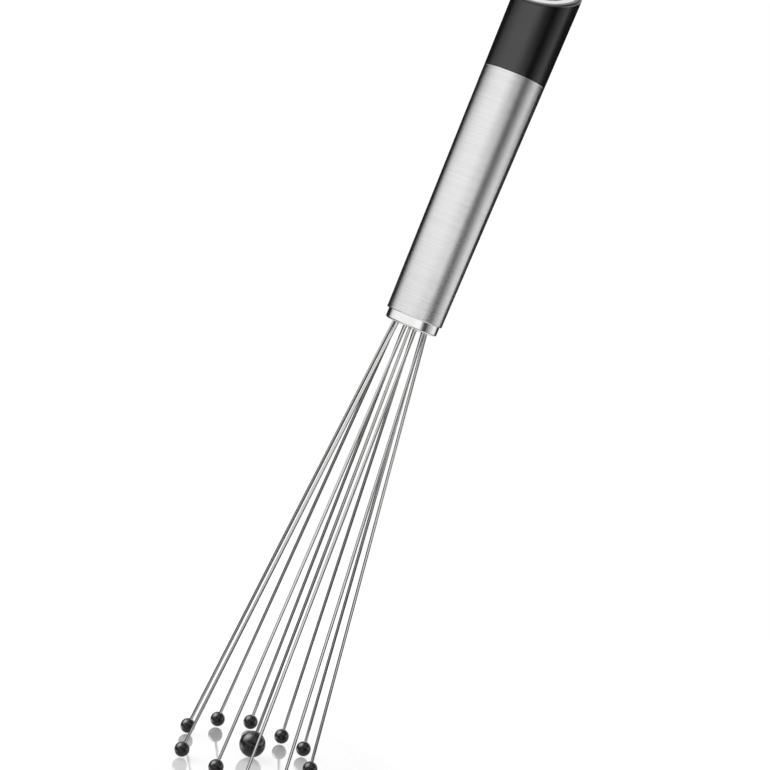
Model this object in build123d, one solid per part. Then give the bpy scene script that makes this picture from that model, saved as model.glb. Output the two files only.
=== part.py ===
# Ball whisk: a round steel handle, a polished ferrule and a fan of straight spring wires,
# each with a ball on its end. The handle's far end is a black moulded cap, cut at a slant,
# with a bright ring let into the slant and a hole to hang the whisk by.
# Millimetres. The handle's axis is Z, with the balls down and the slant facing -Y.
# The origin is where the hanging hole's axis crosses the handle's axis.
import os
from math import cos, pi, radians, sin, tan

from build123d import *

os.makedirs("parts", exist_ok=True)

# Handle sleeve, a tapered steel tube
sleeve_low_d = 18.9
sleeve_high_d = 20.7
sleeve_length = 83.0
sleeve_wall = 0.8
sleeve_edge_round = 0.25

# Black cap on the top of the sleeve, which carries the taper on
cap_length = 28.2
cap_slant = 30.0
cap_lip_round = 0.8
cap_spigot_length = 16.0
cap_spigot_lead = 0.6
cap_hollow_d = 13.0
cap_hollow_roof = 11.0

# Bright ring in the slanted face, round a sunk floor
eye_ring_d = 18.0
eye_ring_band = 2.7
eye_ring_depth = 2.4
eye_ring_round = 0.3
eye_floor_depth = 1.6

# Hole to hang the whisk by, square to the handle
hanging_hole_d = 5.2
hanging_hole_drop = 0.5
hanging_hole_flare = 0.5

# Ferrule that closes the sleeve's lower end and guides the wires
ferrule_d = 17.7
ferrule_collar = 3.2
ferrule_dome = 0.7
ferrule_edge_round = 0.5
ferrule_spigot_length = 7.0

# Block inside the sleeve that grips the wires' ends
anchor_length = 11.0
anchor_edge = 0.6

# Wires
wire_count = 10
wire_d = 1.0
wire_tail = 18.6
wire_exit_d = 11.0
wire_exit_turn_share = 0.582
wire_reach = 148.5

# Balls: they end in one plane, which leans from square to the handle
ball_plane_slope = 14.6
ball_plane_turn = 55.0
ball_d = 4.9
ball_ring_d = 44.5
ball_ring_x = 2.8
ball_ring_y = 0.4
centre_ball_d = 8.6
centre_ball_x = 4.9
centre_ball_y = 1.9
ball_seat_share = 0.6

# The wires spring apart unevenly: each ball's place round the ring as a share of a turn,
# and its distance from the ring's centre as a share of the ring's radius
ball_turn_shares = (0.498, 0.407, 0.331, 0.230, 0.142, 0.027, -0.065, -0.152, -0.228, -0.352)
ball_reach_shares = (1.037, 1.082, 1.058, 0.858, 0.933, 1.069, 1.082, 1.060, 0.875, 0.947)

# Clearances and the length by which a cutting tool runs past
fit_clearance = 0.1
ring_gap = 0.15
wire_clearance = 0.1
overrun = 5.0

# Heights along the handle, worked out from the sizes above
eye_floor_z = hanging_hole_drop
face_z = eye_floor_z + eye_floor_depth
joint_z = face_z - cap_length
sleeve_low_z = joint_z - sleeve_length
exit_z = sleeve_low_z - ferrule_collar
spigot_top_z = sleeve_low_z + ferrule_spigot_length
ball_plane_z = exit_z - wire_reach

taper = (sleeve_high_d - sleeve_low_d) / 2 / sleeve_length


def handle_radius(z):
    """Outer radius of the tapered handle at a height."""
    return sleeve_low_d / 2 + taper * (z - sleeve_low_z)


def plug_radius(z):
    """Radius of what fits inside the sleeve at a height."""
    return handle_radius(z) - sleeve_wall - fit_clearance


def slant_plane(z):
    """Plane parallel to the slanted face, through the axis at a height."""
    return Plane(
        origin=(0, 0, z),
        x_dir=(1, 0, 0),
        z_dir=(0, -sin(radians(cap_slant)), cos(radians(cap_slant))),
    )


def turned(points):
    """Solid of revolution from a half outline in (radius, height)."""
    outline = make_face(Plane.XZ * Polyline(*points, close=True))
    return revolve(outline, Axis.Z)


def rod(start, direction, radius, length):
    """Round bar from a point along a direction."""
    return extrude(Plane(origin=start, z_dir=direction) * Circle(radius), amount=length)


def slanted_slice(radius, low_z, high_z):
    """Round bar on the axis, cut by two planes parallel to the slanted face."""
    reach = radius * tan(radians(cap_slant)) + overrun
    bar = Pos(0, 0, low_z - reach) * extrude(Circle(radius), amount=high_z - low_z + 2 * reach)
    bar = split(bar, bisect_by=slant_plane(high_z), keep=Keep.BOTTOM)
    return split(bar, bisect_by=slant_plane(low_z), keep=Keep.TOP)


def make_sleeve():
    low, high = handle_radius(sleeve_low_z), handle_radius(joint_z)
    sleeve = turned([
        (low - sleeve_wall, sleeve_low_z),
        (low, sleeve_low_z),
        (high, joint_z),
        (high - sleeve_wall, joint_z),
    ])
    rims = sleeve.edges().filter_by(GeomType.CIRCLE)
    outer_rims = rims.filter_by(lambda rim: rim.radius > handle_radius(rim.center().Z) - sleeve_wall / 2)
    return fillet(outer_rims, sleeve_edge_round)


def make_cap():
    spigot_low_z = joint_z - cap_spigot_length
    lead_z = spigot_low_z + cap_spigot_lead
    top_z = face_z + handle_radius(face_z) * tan(radians(cap_slant)) + overrun
    body = turned([
        (0, spigot_low_z),
        (plug_radius(spigot_low_z) - cap_spigot_lead, spigot_low_z),
        (plug_radius(lead_z), lead_z),
        (plug_radius(joint_z), joint_z),
        (handle_radius(joint_z), joint_z),
        (handle_radius(top_z), top_z),
        (0, top_z),
    ])
    body = split(body, bisect_by=slant_plane(face_z), keep=Keep.BOTTOM)
    lip = body.edges().sort_by(Axis.Z)[-1]
    body = fillet(lip, cap_lip_round)

    # groove for the ring, and the sunk floor inside it
    body -= slanted_slice(eye_ring_d / 2 + ring_gap, face_z - eye_ring_depth, face_z + overrun)
    floor_r = eye_ring_d / 2 - eye_ring_band - ring_gap
    body += slanted_slice(floor_r, face_z - eye_ring_depth, eye_floor_z)

    # hanging hole, flared where it leaves the back
    back = handle_radius(0)
    body -= rod((0, -back - overrun, 0), (0, 1, 0), hanging_hole_d / 2, 2 * (back + overrun))
    flare = Cone(hanging_hole_d / 2, hanging_hole_d / 2 + 2 * hanging_hole_flare, 2 * hanging_hole_flare)
    body -= Plane(origin=(0, back - hanging_hole_flare, 0), z_dir=(0, 1, 0)) * Pos(0, 0, hanging_hole_flare) * flare

    # hollow from below, which leaves a roof under the hole
    hollow = extrude(Circle(cap_hollow_d / 2), amount=-cap_hollow_roof - spigot_low_z)
    body -= Pos(0, 0, spigot_low_z) * hollow
    return body


def make_eye_ring():
    outer = slanted_slice(eye_ring_d / 2, face_z - eye_ring_depth, face_z)
    inner = slanted_slice(eye_ring_d / 2 - eye_ring_band, face_z - eye_ring_depth - overrun, face_z + overrun)
    ring = outer - inner
    upper_rims = ring.edges().filter_by(GeomType.ELLIPSE).group_by(Axis.Z)[-1]
    return fillet(upper_rims, eye_ring_round)


def ball_place(across, turn_share, lift):
    """Point over the ball plane, from polar places in it about the ring's centre."""
    x = ball_ring_x + across * cos(2 * pi * turn_share)
    y = ball_ring_y + across * sin(2 * pi * turn_share)
    return plane_point(x, y, lift)


def plane_point(x, y, lift):
    """Point in the leaning ball plane, lifted square off it."""
    lean = Rot(Z=ball_plane_turn) * Rot(Y=-ball_plane_slope) * Rot(Z=-ball_plane_turn)
    return (Pos(0, 0, ball_plane_z) * lean * Pos(x, y, lift)).position


def wire_runs():
    """Exit point and ball centre of each wire, with its ball's diameter, the middle one last."""
    runs = []
    for number in range(wire_count):
        angle = 2 * pi * (wire_exit_turn_share - number / wire_count)
        leave = Vector(wire_exit_d / 2 * cos(angle), wire_exit_d / 2 * sin(angle), exit_z)
        reach = ball_ring_d / 2 * ball_reach_shares[number]
        runs.append((leave, ball_place(reach, ball_turn_shares[number], 0), ball_d))
    lift = (centre_ball_d - ball_d) / 2
    runs.append((Vector(0, 0, exit_z), plane_point(centre_ball_x, centre_ball_y, lift), centre_ball_d))
    return runs


def make_wire(leave, centre, diameter):
    up = (leave - centre).normalized()
    tip = centre - up * diameter * (ball_seat_share - 1 / 2)
    return rod(tip, up, wire_d / 2, (leave - tip).length + wire_tail)


def make_ball(leave, centre, diameter):
    up = (leave - centre).normalized()
    bottom = centre - up * (diameter * (ball_seat_share - 1 / 2) + wire_clearance)
    ball = Plane(origin=centre, z_dir=up) * Sphere(diameter / 2)
    return ball - rod(bottom, up, wire_d / 2 + wire_clearance, diameter)


def wire_holes(runs):
    """Slightly wide copies of the wires, to cut their holes."""
    holes = []
    for leave, centre, diameter in runs:
        up = (leave - centre).normalized()
        start = leave - up * overrun
        holes.append(rod(start, up, wire_d / 2 + wire_clearance, overrun + wire_tail + wire_clearance))
    return holes


def make_ferrule(holes):
    spigot = plug_radius(sleeve_low_z)
    collar = ferrule_d / 2
    dome = ThreePointArc(
        (0, exit_z - ferrule_dome),
        (collar / 2, exit_z - ferrule_dome * 3 / 4),
        (collar, exit_z),
    )
    sides = Polyline(
        (collar, exit_z),
        (collar, sleeve_low_z),
        (spigot, sleeve_low_z),
        (spigot, spigot_top_z),
        (0, spigot_top_z),
        (0, exit_z - ferrule_dome),
    )
    ferrule = revolve(make_face(Plane.XZ * (dome + sides)), Axis.Z)
    rims = ferrule.edges().filter_by(GeomType.CIRCLE).filter_by(lambda edge: edge.is_closed)
    rim = rims.sort_by(Axis.Z)[0]
    ferrule = fillet(rim, ferrule_edge_round)
    return ferrule - holes


def make_anchor(holes):
    low = spigot_top_z + fit_clearance
    block = Pos(0, 0, low) * extrude(Circle(plug_radius(sleeve_low_z)), amount=anchor_length)
    block = chamfer(block.edges().filter_by(GeomType.CIRCLE), anchor_edge)
    return block - holes


def save(solid, name):
    export_step(solid, f"parts/{name}.step")


runs = wire_runs()
holes = wire_holes(runs)
save(make_sleeve(), "handle_sleeve")
save(make_cap(), "end_cap")
save(make_eye_ring(), "eye_ring")
save(make_ferrule(holes), "ferrule")
save(make_anchor(holes), "wire_anchor")
for number, run in enumerate(runs[:wire_count], start=1):
    save(make_wire(*run), f"wire_{number:02d}")
    save(make_ball(*run), f"ball_{number:02d}")
save(make_wire(*runs[-1]), "centre_wire")
save(make_ball(*runs[-1]), "centre_ball")
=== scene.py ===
# Ball whisk: the finish of each piece, and the white studio that it is shown in.
# Metres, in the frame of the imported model: the handle's axis is Z, with the balls down.
from math import cos, pi, radians, sin

import bmesh
import bpy
from bpy.props import FloatProperty, FloatVectorProperty, PointerProperty
from bpy.types import NodeSocket, Operator, Panel, PropertyGroup
from mathutils import Matrix, Vector


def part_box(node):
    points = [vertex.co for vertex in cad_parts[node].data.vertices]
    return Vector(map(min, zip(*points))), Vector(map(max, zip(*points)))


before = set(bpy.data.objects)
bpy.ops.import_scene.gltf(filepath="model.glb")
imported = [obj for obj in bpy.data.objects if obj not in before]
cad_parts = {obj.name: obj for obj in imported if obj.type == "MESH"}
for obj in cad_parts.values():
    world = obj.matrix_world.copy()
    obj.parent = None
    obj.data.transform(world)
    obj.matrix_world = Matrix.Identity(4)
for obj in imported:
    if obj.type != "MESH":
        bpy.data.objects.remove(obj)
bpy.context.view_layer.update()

bl_info = {
    "name": "Ball Whisk",
    "version": (1, 0, 0),
    "blender": (4, 5, 0),
    "location": "View3D > Sidebar > Whisk",
    "description": "Finishes for a ball whisk's pieces, and a white studio to show it in",
    "category": "Object",
}

balls = sorted(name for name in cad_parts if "ball" in name)
ring_balls = [name for name in balls if name != "centre_ball"]
wires = [name.replace("ball", "wire") for name in balls]


# Shader maths

class Signal:
    """A number that a node gives. A sum on it adds the Math node that works it out."""

    def __init__(self, finish, socket):
        self.finish = finish
        self.socket = socket

    def math(self, operation, *values):
        node = self.finish.node("ShaderNodeMath", {"operation": operation}, Value=list(values))
        return self.finish.signal(node.outputs["Value"])

    def __add__(self, other):
        return self.math("ADD", self, other)

    def __radd__(self, other):
        return self.math("ADD", other, self)

    def __sub__(self, other):
        return self.math("SUBTRACT", self, other)

    def __rsub__(self, other):
        return self.math("SUBTRACT", other, self)

    def __mul__(self, other):
        return self.math("MULTIPLY", self, other)

    def __rmul__(self, other):
        return self.math("MULTIPLY", other, self)

    def __truediv__(self, other):
        return self.math("DIVIDE", self, other)

    def __rtruediv__(self, other):
        return self.math("DIVIDE", other, self)

    def __pow__(self, other):
        return self.math("POWER", self, other)

    def __rpow__(self, other):
        return self.math("POWER", other, self)

    def __abs__(self):
        return self.math("ABSOLUTE", self)

    def arctan2(self, other):
        return self.math("ARCTAN2", self, other)

    def arcsine(self):
        return self.math("ARCSINE", self)

    def at_most(self, other):
        return self.math("MINIMUM", self, other)

    def at_least(self, other):
        return self.math("MAXIMUM", self, other)

    def fade(self, start, end):
        """0 before start, 1 past end, and a smooth change between them."""
        node = self.finish.node(
            "ShaderNodeMapRange",
            {"interpolation_type": "SMOOTHSTEP"},
            Value=self,
            From_Min=start,
            From_Max=end,
        )
        return self.finish.signal(node.outputs["Result"])

    def fade_degrees(self, start, end):
        """The same for an angle, with start and end in degrees."""
        return self.fade(radians(start), radians(end))

    def turned_to(self, other, share):
        """This where share is 0, the other where it is 1, and a mix between."""
        return self + (other - self) * share


class Finish:
    """The nodes of one material or world."""

    def __init__(self, owner):
        owner.use_nodes = True
        self.tree = owner.node_tree
        self.tree.nodes.clear()

    def node(self, kind, settings=None, **sockets):
        """Adds a node: its settings first, then the values or links of its sockets.

        An underscore in a socket's name stands for a space, and a list fills the sockets
        that share a name, in turn."""
        made = self.tree.nodes.new(kind)
        for name, value in (settings or {}).items():
            if name == "stops":
                self.set_stops(made.color_ramp, value)
            else:
                setattr(made, name, value)
        for name, value in sockets.items():
            named = [s for s in made.inputs if s.enabled and s.name == name.replace("_", " ")]
            for number, each in enumerate(value if isinstance(value, list) else [value]):
                self.fill(named[number], each)
        return made

    def fill(self, socket, value):
        if isinstance(value, Signal):
            value = value.socket
        if isinstance(value, NodeSocket):
            self.tree.links.new(value, socket)
        else:
            socket.default_value = value

    @staticmethod
    def set_stops(ramp, stops):
        """Greys of a colour ramp, each at its number of degrees from -180 to 180."""
        for number, (turn, tone) in enumerate(stops):
            place = (turn + 180) / 360
            stop = ramp.elements[number] if number < 2 else ramp.elements.new(place)
            stop.position = place
            stop.color = (*grey(tone), 1)

    def ramp_round(self, stops, turn):
        """A grey that changes with a turn in radians."""
        node = self.node("ShaderNodeValToRGB", {"stops": stops}, Fac=turn / (2 * pi) + 0.5)
        return self.signal(node.outputs["Color"])

    def signal(self, socket):
        return Signal(self, socket)

    def place(self):
        """Object coordinates, in metres."""
        return self.node("ShaderNodeTexCoord").outputs["Object"]

    def split(self, vector):
        """The three numbers of a vector."""
        node = self.node("ShaderNodeSeparateXYZ", Vector=vector)
        return [self.signal(node.outputs[axis]) for axis in "XYZ"]

    def noise(self, vector, scale, detail=3.0, roughness=0.5, stretch=(1, 1, 1)):
        """Noise over the object, drawn out along an axis where stretch is under 1 there."""
        drawn = self.node("ShaderNodeMapping", Vector=vector, Scale=stretch)
        node = self.node(
            "ShaderNodeTexNoise",
            Vector=drawn.outputs["Vector"],
            Scale=scale,
            Detail=detail,
            Roughness=roughness,
        )
        return self.signal(node.outputs["Fac"])

    def blend(self, factor, first, second):
        """A colour between two colours."""
        node = self.node(
            "ShaderNodeMix",
            {"data_type": "RGBA"},
            Factor=factor,
            A=(*first, 1),
            B=(*second, 1),
        )
        return next(s for s in node.outputs if s.enabled)

    def bump(self, height, depth):
        """A normal from a height between 0 and 1, whose full depth is in metres."""
        return self.node("ShaderNodeBump", Height=height, Distance=depth).outputs["Normal"]

    def mixed(self, factor, first, second):
        """A shader between two shaders."""
        return self.node("ShaderNodeMixShader", Fac=factor, Shader=[first.outputs[0], second.outputs[0]])

    def ray(self, kind):
        """1 for rays of a kind, such as Camera, and 0 for others."""
        return self.signal(self.node("ShaderNodeLightPath").outputs[f"Is {kind} Ray"])

    def surface(self, shader, output="ShaderNodeOutputMaterial"):
        self.node(output, Surface=shader.outputs[0])


def new_material(name):
    material = bpy.data.materials.new(name)
    return material, Finish(material)


def dress(nodes, material):
    """Gives CAD pieces a material in place of the plain one they came with."""
    for name in nodes:
        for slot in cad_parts[name].material_slots:
            slot.material = material


def grey(tone):
    return tone, tone, tone


def lighter(colour, times):
    return [value * times for value in colour]


# What a user would change

class WhiskFinishes(PropertyGroup):
    sleeve_tone: FloatProperty(
        name="Sleeve tone", description="How light the brushed steel of the handle is",
        default=0.86, min=0, max=1,
    )
    sleeve_roughness: FloatProperty(
        name="Sleeve roughness", description="How far the brushing spreads a reflection",
        default=0.22, min=0, max=1,
    )
    brush_width: FloatProperty(
        name="Brush line width", description="Width of the brush lines on the handle",
        default=0.00012, unit="LENGTH",
    )
    brush_length: FloatProperty(
        name="Brush line length", description="Length of the brush lines on the handle",
        default=0.012, unit="LENGTH",
    )
    polish_tone: FloatProperty(
        name="Polished tone", description="How light the ferrule and the ring are",
        default=0.88, min=0, max=1,
    )
    wire_tone: FloatProperty(
        name="Wire tone", description="How light the spring wire is",
        default=0.70, min=0, max=1,
    )
    cap_colour: FloatVectorProperty(
        name="Cap colour", description="Colour of the moulded cap",
        default=(0.0025, 0.0025, 0.0027), subtype="COLOR", min=0, max=1,
    )
    ball_colour: FloatVectorProperty(
        name="Ball colour", description="Colour of the balls",
        default=(0.003, 0.003, 0.0032), subtype="COLOR", min=0, max=1,
    )
    anchor_colour: FloatVectorProperty(
        name="Anchor colour", description="Colour of the block that grips the wires",
        default=(0.05, 0.05, 0.05), subtype="COLOR", min=0, max=1,
    )


class WhiskStudio(PropertyGroup):
    lens: FloatProperty(
        name="Lens", description="Focal length of the camera, in millimetres",
        default=81.34,
    )
    distance: FloatProperty(
        name="Distance", description="From the camera to the point it aims at",
        default=0.56103, unit="LENGTH",
    )
    aim: FloatVectorProperty(
        name="Aim", description="Point that the camera aims at, a little off the handle's axis",
        default=(-0.00028, -0.00014, -0.13284), subtype="TRANSLATION", unit="LENGTH",
    )
    azimuth: FloatProperty(
        name="Azimuth", description="Side that the camera stands on, from +X towards +Y",
        default=radians(-63.014), subtype="ANGLE",
    )
    elevation: FloatProperty(
        name="Elevation", description="Angle of the camera above the level of its aim",
        default=radians(3.587), subtype="ANGLE",
    )
    roll: FloatProperty(
        name="Roll", description="Turn of the camera about its line of sight",
        default=radians(22.57), subtype="ANGLE",
    )
    floor_gap: FloatProperty(
        name="Floor gap", description="From the lowest point of the small balls to the floor",
        default=0.00038, unit="LENGTH",
    )
    floor_size: FloatProperty(
        name="Floor size", description="Radius of the floor",
        default=0.45, unit="LENGTH",
    )
    fill_level: FloatProperty(
        name="Fill level", description="Light on matt surfaces from all round",
        default=0.65, min=0,
    )
    softbox_power: FloatProperty(
        name="Softbox power", description="Power of the lamp over the balls",
        default=0.48, min=0, subtype="POWER",
    )
    softbox_width: FloatProperty(
        name="Softbox width", description="Width of the lamp over the balls",
        default=0.36, unit="LENGTH",
    )
    softbox_height: FloatProperty(
        name="Softbox height", description="Height of the lamp over the balls",
        default=0.32, unit="LENGTH",
    )
    softbox_distance: FloatProperty(
        name="Softbox distance", description="From the lamp to the middle of the balls",
        default=0.20, unit="LENGTH",
    )
    softbox_turn: FloatProperty(
        name="Softbox turn", description="Angle round the whisk from the camera to the lamp",
        default=radians(-92), subtype="ANGLE",
    )
    softbox_elevation: FloatProperty(
        name="Softbox elevation", description="Angle of the lamp above the level of the balls",
        default=radians(36), subtype="ANGLE",
    )
    softbox_spread: FloatProperty(
        name="Softbox spread", description="Cone that the lamp's grid lets its light into",
        default=radians(75), subtype="ANGLE",
    )


# Metals

class WHISK_OT_sleeve(Operator):
    """Satin steel on the handle's sleeve, with fine brush lines that run round it"""
    bl_idname = "whisk.sleeve"
    bl_label = "Brushed sleeve"

    def execute(self, context):
        look = context.scene.whisk_finishes
        material, finish = new_material("brushed_sleeve_finish")
        place = finish.place()
        share = look.brush_width / look.brush_length
        drawn_out = (share, share, 1)
        streak_width = look.brush_width * 4
        line_depth = look.brush_width / 12
        lines = finish.noise(place, 1 / look.brush_width, detail=4, roughness=0.65, stretch=drawn_out)
        streaks = finish.noise(place, 1 / streak_width, stretch=drawn_out)
        clouds = finish.noise(place, 1 / look.brush_length, detail=2)
        tone = look.sleeve_tone
        shader = finish.node(
            "ShaderNodeBsdfPrincipled",
            Base_Color=finish.blend(streaks, grey(tone * 0.91), grey(tone * 1.09)),
            Metallic=1.0,
            Roughness=look.sleeve_roughness + (lines - 0.5) * 0.10 + (clouds - 0.5) * 0.04,
            Specular_Tint=(0, 0, 0, 1),
            Normal=finish.bump(lines, line_depth),
        )
        finish.surface(shader)
        dress(["handle_sleeve"], material)
        return {"FINISHED"}


class WHISK_OT_polished(Operator):
    """Polished steel on the ferrule and on the ring in the cap"""
    bl_idname = "whisk.polished"
    bl_label = "Polished steel"

    lines_per_metre = 9000
    line_depth = 0.0000006
    smudges_per_metre = 220
    round_the_axis = (0.05, 0.05, 1)

    def execute(self, context):
        look = context.scene.whisk_finishes
        material, finish = new_material("polished_steel_finish")
        place = finish.place()
        lines = finish.noise(place, self.lines_per_metre, detail=2, stretch=self.round_the_axis)
        smudge = finish.noise(place, self.smudges_per_metre)
        tone = look.polish_tone
        shader = finish.node(
            "ShaderNodeBsdfPrincipled",
            Base_Color=finish.blend(smudge, grey(tone * 0.97), grey(tone)),
            Metallic=1.0,
            Roughness=0.05 + lines * 0.03 + smudge * 0.03,
            Normal=finish.bump(lines, self.line_depth),
        )
        finish.surface(shader)
        dress(["ferrule", "eye_ring"], material)
        return {"FINISHED"}


class WHISK_OT_wires(Operator):
    """Bright drawn wire, with faint lines from the drawing die"""
    bl_idname = "whisk.wires"
    bl_label = "Spring wires"

    lines_per_metre = 7000
    line_depth = 0.0000012
    along_the_wire = (1, 1, 0.004)

    def execute(self, context):
        look = context.scene.whisk_finishes
        material, finish = new_material("spring_wire_finish")
        lines = finish.noise(
            finish.place(), self.lines_per_metre, detail=2, stretch=self.along_the_wire
        )
        tone = look.wire_tone
        dull = (tone * 0.95, tone * 0.94, tone * 0.92)
        bright = (tone, tone * 0.99, tone * 0.97)
        shader = finish.node(
            "ShaderNodeBsdfPrincipled",
            Base_Color=finish.blend(lines, dull, bright),
            Metallic=1.0,
            Roughness=0.10 + lines * 0.08,
            Specular_Tint=(0, 0, 0, 1),
            Normal=finish.bump(lines, self.line_depth),
        )
        finish.surface(shader)
        dress(wires, material)
        return {"FINISHED"}


# Plastics

class WHISK_OT_cap(Operator):
    """Satin black plastic with a fine grain on the end cap, and matt inside its ring"""
    bl_idname = "whisk.cap"
    bl_label = "Black cap"

    grains_per_metre = 5200
    grain_depth = 0.000012
    worn_spots_per_metre = 160
    eye_radius = 0.0063
    eye_edge = 0.0003
    eye_low_z = -0.0061
    eye_high_z = -0.0060

    def execute(self, context):
        look = context.scene.whisk_finishes
        material, finish = new_material("black_cap_finish")
        place = finish.place()
        x, y, z = finish.split(place)
        grain = finish.noise(place, self.grains_per_metre, roughness=0.6)
        wear = finish.noise(place, self.worn_spots_per_metre, detail=4)
        from_axis = (x * x + y * y) ** 0.5
        inside = 1 - from_axis.fade(self.eye_radius - self.eye_edge, self.eye_radius)
        eye = inside * z.fade(self.eye_low_z, self.eye_high_z)
        dark = look.cap_colour
        shader = finish.node(
            "ShaderNodeBsdfPrincipled",
            Base_Color=finish.blend(wear, dark, lighter(dark, 1.5)),
            Roughness=0.15 + (grain - 0.5) * 0.08 + (wear - 0.5) * 0.05 + eye * 0.6,
            Specular_IOR_Level=1.0,
            Normal=finish.bump(grain, self.grain_depth),
        )
        finish.surface(shader)
        dress(["end_cap"], material)
        return {"FINISHED"}


class WHISK_OT_balls(Operator):
    """High gloss black on the balls, with the faint unevenness of a moulding"""
    bl_idname = "whisk.balls"
    bl_label = "Black balls"

    smudges_per_metre = 600
    smudge_depth = 0.00001

    def execute(self, context):
        look = context.scene.whisk_finishes
        material, finish = new_material("gloss_black_finish")
        smudge = finish.noise(finish.place(), self.smudges_per_metre)
        dark = look.ball_colour
        shader = finish.node(
            "ShaderNodeBsdfPrincipled",
            Base_Color=finish.blend(smudge, dark, lighter(dark, 1.6)),
            Roughness=0.15 + smudge * 0.07,
            Specular_IOR_Level=0.56,
            Normal=finish.bump(smudge, self.smudge_depth),
        )
        finish.surface(shader)
        dress(balls, material)
        return {"FINISHED"}


class WHISK_OT_anchor(Operator):
    """Plain moulded plastic on the block that grips the wires inside the handle"""
    bl_idname = "whisk.anchor"
    bl_label = "Wire anchor"

    grains_per_metre = 2600
    grain_depth = 0.00002

    def execute(self, context):
        look = context.scene.whisk_finishes
        material, finish = new_material("anchor_plastic_finish")
        grain = finish.noise(finish.place(), self.grains_per_metre)
        dark = look.anchor_colour
        shader = finish.node(
            "ShaderNodeBsdfPrincipled",
            Base_Color=finish.blend(grain, dark, lighter(dark, 1.3)),
            Roughness=0.5 + (grain - 0.5) * 0.1,
            Normal=finish.bump(grain, self.grain_depth),
        )
        finish.surface(shader)
        dress(["wire_anchor"], material)
        return {"FINISHED"}


# Studio: what polished surfaces mirror of it. A turn is an angle round the whisk from the
# camera's side, over 0 to the right in the picture. A height is an angle above the level,
# and a tone is a brightness.

# At the level, as (turn in degrees, tone). White panels stand in front and at the right. A
# narrow black flag parts them, the black beyond them darkens the edges of the steel, and a
# panel far behind lights its back.
LEVEL_TONES = (
    (-180, 1.0),
    (-168, 1.0),
    (-160, 0.02),
    (-128, 0.02),
    (-117, 0.55),
    (-104, 0.92),
    (-80, 1.02),
    (-37, 1.0),
    (-5, 1.0),
    (12, 1.10),
    (31, 1.10),
    (36, 0.55),
    (42, 0.16),
    (47, 0.05),
    (57, 0.05),
    (64, 0.22),
    (83, 0.60),
    (96, 0.84),
    (107, 0.96),
    (118, 0.88),
    (131, 0.02),
    (160, 0.02),
    (168, 1.0),
    (180, 1.0),
)

# A little higher up, where the panels end and their edges are softer
RAISED_TONES = (
    (-180, 0.02),
    (-122, 0.02),
    (-110, 0.20),
    (-94, 0.46),
    (-78, 0.70),
    (-58, 0.95),
    (-16, 1.02),
    (0, 0.62),
    (10, 0.24),
    (20, 0.03),
    (28, 0.01),
    (48, 0.01),
    (64, 0.16),
    (80, 0.38),
    (94, 0.54),
    (103, 0.12),
    (114, 0.02),
    (180, 0.02),
)

# The panels at the level lean: they stand further left with each degree of height, by this
# many degrees, from 4 below the level to it and from 3 to 8 above it.
LEAN_BELOW = 5.5
LEAN_ABOVE = 5

CEILING_TONE = 0.12
RIGHT_PANEL_TONE = 2.0
ROOF_TONE = 0.72
ROOF_SHADE_AT_RIGHT = 0.60
TABLE_TONE = 0.02
TABLE_STRIP_TONE = 0.40
TABLE_STRIP_TURN = -25
TABLE_BACK_TONE = 0.85
GROUND_TONE = 0.85


def panels(finish, turn, height):
    """The panels and flags near the level."""
    below = height.at_most(0).at_least(radians(-4)) * LEAN_BELOW
    above = (height - radians(3)).at_least(0).at_most(radians(5)) * LEAN_ABOVE
    level = finish.ramp_round(LEVEL_TONES, turn + (below + above))
    raised = finish.ramp_round(RAISED_TONES, turn)
    return level.turned_to(raised, height.fade_degrees(3.5, 7))


def ceiling(turn, height):
    """A dark ceiling in front, a bright panel at the right, a pale roof, and light behind."""
    right = turn.fade_degrees(40, 80) * (1 - height.fade_degrees(24, 36))
    roof_tone = ROOF_TONE - turn.fade_degrees(20, 90) * ROOF_SHADE_AT_RIGHT
    roof = height.fade_degrees(25, 38) * roof_tone
    tone = CEILING_TONE + right * RIGHT_PANEL_TONE + roof
    behind = abs(turn).fade_degrees(95, 130) * (1 - height.fade_degrees(32, 42) * 0.75)
    return tone.turned_to(1, behind)


def table(turn, steep):
    """A dark table with a light strip in front and light behind, and pale ground straight below."""
    strip = 1 - abs(turn - radians(TABLE_STRIP_TURN)).fade_degrees(10, 45)
    back = abs(turn).fade_degrees(138, 160)
    tone = TABLE_TONE + strip * TABLE_STRIP_TONE + back * TABLE_BACK_TONE
    return tone.turned_to(GROUND_TONE, steep)


def towards_camera(studio, x, y):
    """The parts of a direction or place towards the camera's side and to the picture's right."""
    towards = x * cos(studio.azimuth) + y * sin(studio.azimuth)
    to_right = y * cos(studio.azimuth) - x * sin(studio.azimuth)
    return towards, to_right


def add_world(studio):
    """White to the camera, an even level to matt surfaces, and the panels to polished ones."""
    world = bpy.data.worlds.new("white_studio")
    world.cycles.sampling_method = "NONE"
    bpy.context.scene.world = world
    finish = Finish(world)
    direction = finish.node("ShaderNodeTexCoord").outputs["Generated"]
    x, y, z = finish.split(direction)
    towards, to_right = towards_camera(studio, x, y)
    height = z.arcsine()
    turn = to_right.arctan2(towards)
    steep = 1 - height.fade_degrees(-45, -32)
    mirrored = panels(finish, turn, height)
    mirrored = mirrored.turned_to(ceiling(turn, height), height.fade_degrees(11, 18))
    mirrored = mirrored.turned_to(table(turn, steep), 1 - height.fade_degrees(-11, -2))
    to_polished = finish.ray("Glossy").at_least(finish.ray("Transmission"))
    tone = studio.fill_level + (mirrored - studio.fill_level) * to_polished
    tone = tone.turned_to(1, finish.ray("Camera"))
    finish.surface(finish.node("ShaderNodeBackground", Color=tone), "ShaderNodeOutputWorld")


# Studio: camera, floor and lamp

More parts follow.
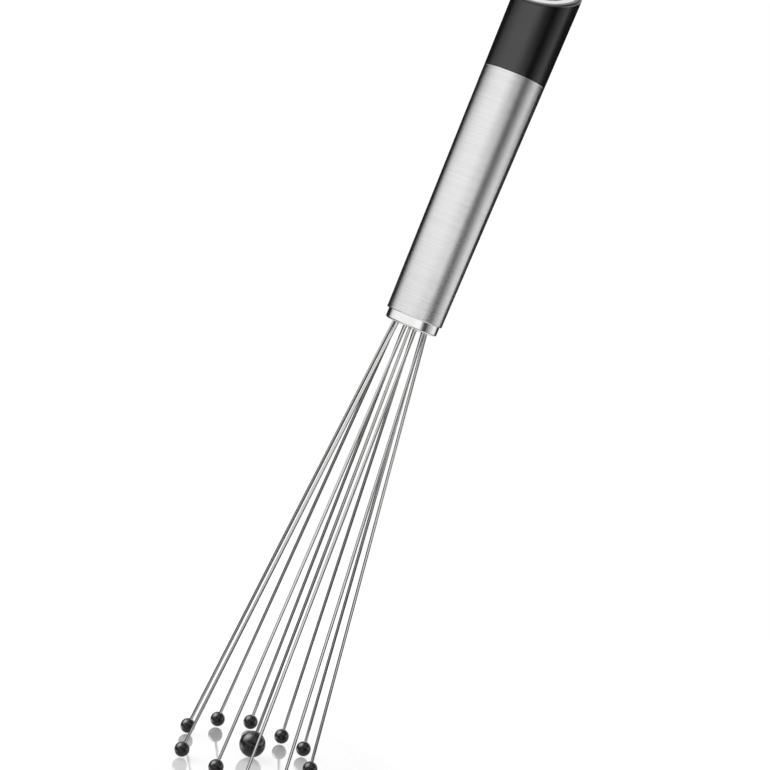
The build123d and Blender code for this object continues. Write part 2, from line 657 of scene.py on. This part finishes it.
def ball_plane():
    """Middle of the ring of small balls, and the normal of the plane they lie in."""
    centres = [sum(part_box(name), Vector()) / 2 for name in ring_balls]
    middle = sum(centres, Vector()) / len(centres)
    third = len(centres) // 3
    normal = (centres[third] - centres[0]).cross(centres[2 * third] - centres[0]).normalized()
    if normal.z < 0:
        normal.negate()
    return middle, normal


def stand(name, data, aim, azimuth, elevation, distance, roll=0.0):
    """Puts a camera or lamp at a side and a height above the level, looking at a point."""
    level = cos(elevation)
    back = Vector((level * cos(azimuth), level * sin(azimuth), sin(elevation)))
    turn = back.to_track_quat("Z", "Y").to_matrix() @ Matrix.Rotation(roll, 3, "Z")
    made = bpy.data.objects.new(name, data)
    made.matrix_world = Matrix.Translation(Vector(aim) + back * distance) @ turn.to_4x4()
    bpy.context.scene.collection.objects.link(made)
    return made


def add_camera(studio):
    data = bpy.data.cameras.new("camera")
    data.lens = studio.lens
    data.clip_start = 0.01
    bpy.context.scene.camera = stand(
        "camera", data, studio.aim, studio.azimuth, studio.elevation, studio.distance, studio.roll
    )


def add_floor(studio, middle, normal):
    """White floor under the balls, which mirrors them faintly."""
    low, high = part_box(ring_balls[0])
    drop = (high.x - low.x) / 2 + studio.floor_gap
    mesh = bpy.data.meshes.new("floor")
    form = bmesh.new()
    bmesh.ops.create_circle(form, cap_ends=True, segments=96, radius=studio.floor_size)
    bmesh.ops.rotate(form, verts=form.verts, matrix=normal.to_track_quat("Z", "Y").to_matrix())
    bmesh.ops.translate(form, verts=form.verts, vec=middle - normal * drop)
    form.to_mesh(mesh)
    form.free()
    floor = bpy.data.objects.new("floor", mesh)
    bpy.context.scene.collection.objects.link(floor)
    mesh.materials.append(floor_material(studio, middle))
    return floor


def floor_material(studio, middle):
    """White with the object's shadow and a painted grey pool of shade round the balls, glossy near the
    balls at a low angle, clear from below. To polished surfaces it glows with painted reflections.
    """
    material, finish = new_material("white_floor")
    place = finish.place()
    x, y = finish.split(place)[:2]
    away = finish.node("ShaderNodeVectorMath", {"operation": "DISTANCE"}, Vector=[place, middle])
    away = finish.signal(away.outputs["Value"])
    facing = finish.signal(finish.node("ShaderNodeLayerWeight", Blend=0.5).outputs["Facing"])
    forward, sideways = towards_camera(studio, x - middle.x, y - middle.y)

    to_polished = finish.ray("Glossy")
    # To polished surfaces it glows with the table that the world shows, and a middle grey near the
    # balls: painted reflections, not the floor's own white
    table_tone = table(sideways.arctan2(forward), 1 - facing.fade(0.30, 0.50))
    mirrored = 0.5 + (table_tone - 0.5) * away.fade(0.026, 0.050)
    # To the camera it is a little under white near the balls, a painted grey pool of shade round them,
    # so that their shadow shows
    white_with_painted_shade = 0.87 + away.fade(0.035, 0.10) * 0.23
    white = finish.node("ShaderNodeEmission", Color=finish.ray("Camera") * white_with_painted_shade + to_polished * mirrored)
    matt = finish.node("ShaderNodeBsdfDiffuse", Color=(0.95, 0.95, 0.95, 1))
    matt_share = 0.2 - to_polished * 0.15
    shadowed = finish.mixed(matt_share, white, matt)

    near = 1 - away.fade(0.027, 0.050)
    grazing = facing.fade(0.2, 0.75)
    gloss_share = 0.80 - forward.fade(-0.015, 0.010) * 0.36
    gloss = finish.node("ShaderNodeBsdfGlossy", Color=(1, 1, 1, 1), Roughness=0.05)
    coated = finish.mixed(near * grazing * gloss_share, shadowed, gloss)

    clear = finish.node("ShaderNodeBsdfTransparent")
    from_below = finish.node("ShaderNodeNewGeometry").outputs["Backfacing"]
    finish.surface(finish.mixed(from_below, coated, clear))
    return material


def add_softbox(studio, middle, lit_objects):
    """Lamp beside the balls that lights some objects alone, so that no steel mirrors it."""
    data = bpy.data.lights.new("ball_softbox", "AREA")
    data.shape = "RECTANGLE"
    data.size = studio.softbox_width
    data.size_y = studio.softbox_height
    data.spread = studio.softbox_spread
    data.energy = studio.softbox_power
    azimuth = studio.azimuth + studio.softbox_turn
    lamp = stand(
        "ball_softbox", data, middle, azimuth, studio.softbox_elevation, studio.softbox_distance
    )
    lamp.visible_camera = False
    lit = bpy.data.collections.new("lit_by_softbox")
    for each in lit_objects:
        lit.objects.link(each)
    lamp.light_linking.receiver_collection = lit


class WHISK_OT_studio(Operator):
    """White studio: camera, floor, world and softbox"""
    bl_idname = "whisk.studio"
    bl_label = "White studio"

    def execute(self, context):
        studio = context.scene.whisk_studio
        context.scene.view_settings.view_transform = "Standard"
        middle, normal = ball_plane()
        add_camera(studio)
        floor = add_floor(studio, middle, normal)
        add_world(studio)
        add_softbox(studio, middle, [floor, *(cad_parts[name] for name in balls)])
        return {"FINISHED"}


class WHISK_PT_panel(Panel):
    bl_label = "Ball Whisk"
    bl_idname = "WHISK_PT_panel"
    bl_space_type = "VIEW_3D"
    bl_region_type = "UI"
    bl_category = "Whisk"

    def draw(self, context):
        for operator in operators:
            self.layout.operator(operator.bl_idname)
        for group in (context.scene.whisk_finishes, context.scene.whisk_studio):
            box = self.layout.box()
            for name in group.bl_rna.properties.keys():
                if name not in ("rna_type", "name"):
                    box.prop(group, name)


operators = (
    WHISK_OT_sleeve,
    WHISK_OT_polished,
    WHISK_OT_wires,
    WHISK_OT_cap,
    WHISK_OT_balls,
    WHISK_OT_anchor,
    WHISK_OT_studio,
)
classes = (WhiskFinishes, WhiskStudio, *operators, WHISK_PT_panel)


def register():
    for each in classes:
        bpy.utils.register_class(each)
    bpy.types.Scene.whisk_finishes = PointerProperty(type=WhiskFinishes)
    bpy.types.Scene.whisk_studio = PointerProperty(type=WhiskStudio)


def unregister():
    del bpy.types.Scene.whisk_studio
    del bpy.types.Scene.whisk_finishes
    for each in reversed(classes):
        bpy.utils.unregister_class(each)


def main():
    register()
    bpy.ops.whisk.sleeve()
    bpy.ops.whisk.polished()
    bpy.ops.whisk.wires()
    bpy.ops.whisk.cap()
    bpy.ops.whisk.balls()
    bpy.ops.whisk.anchor()
    bpy.ops.whisk.studio()


if __name__ == "__main__":
    main()
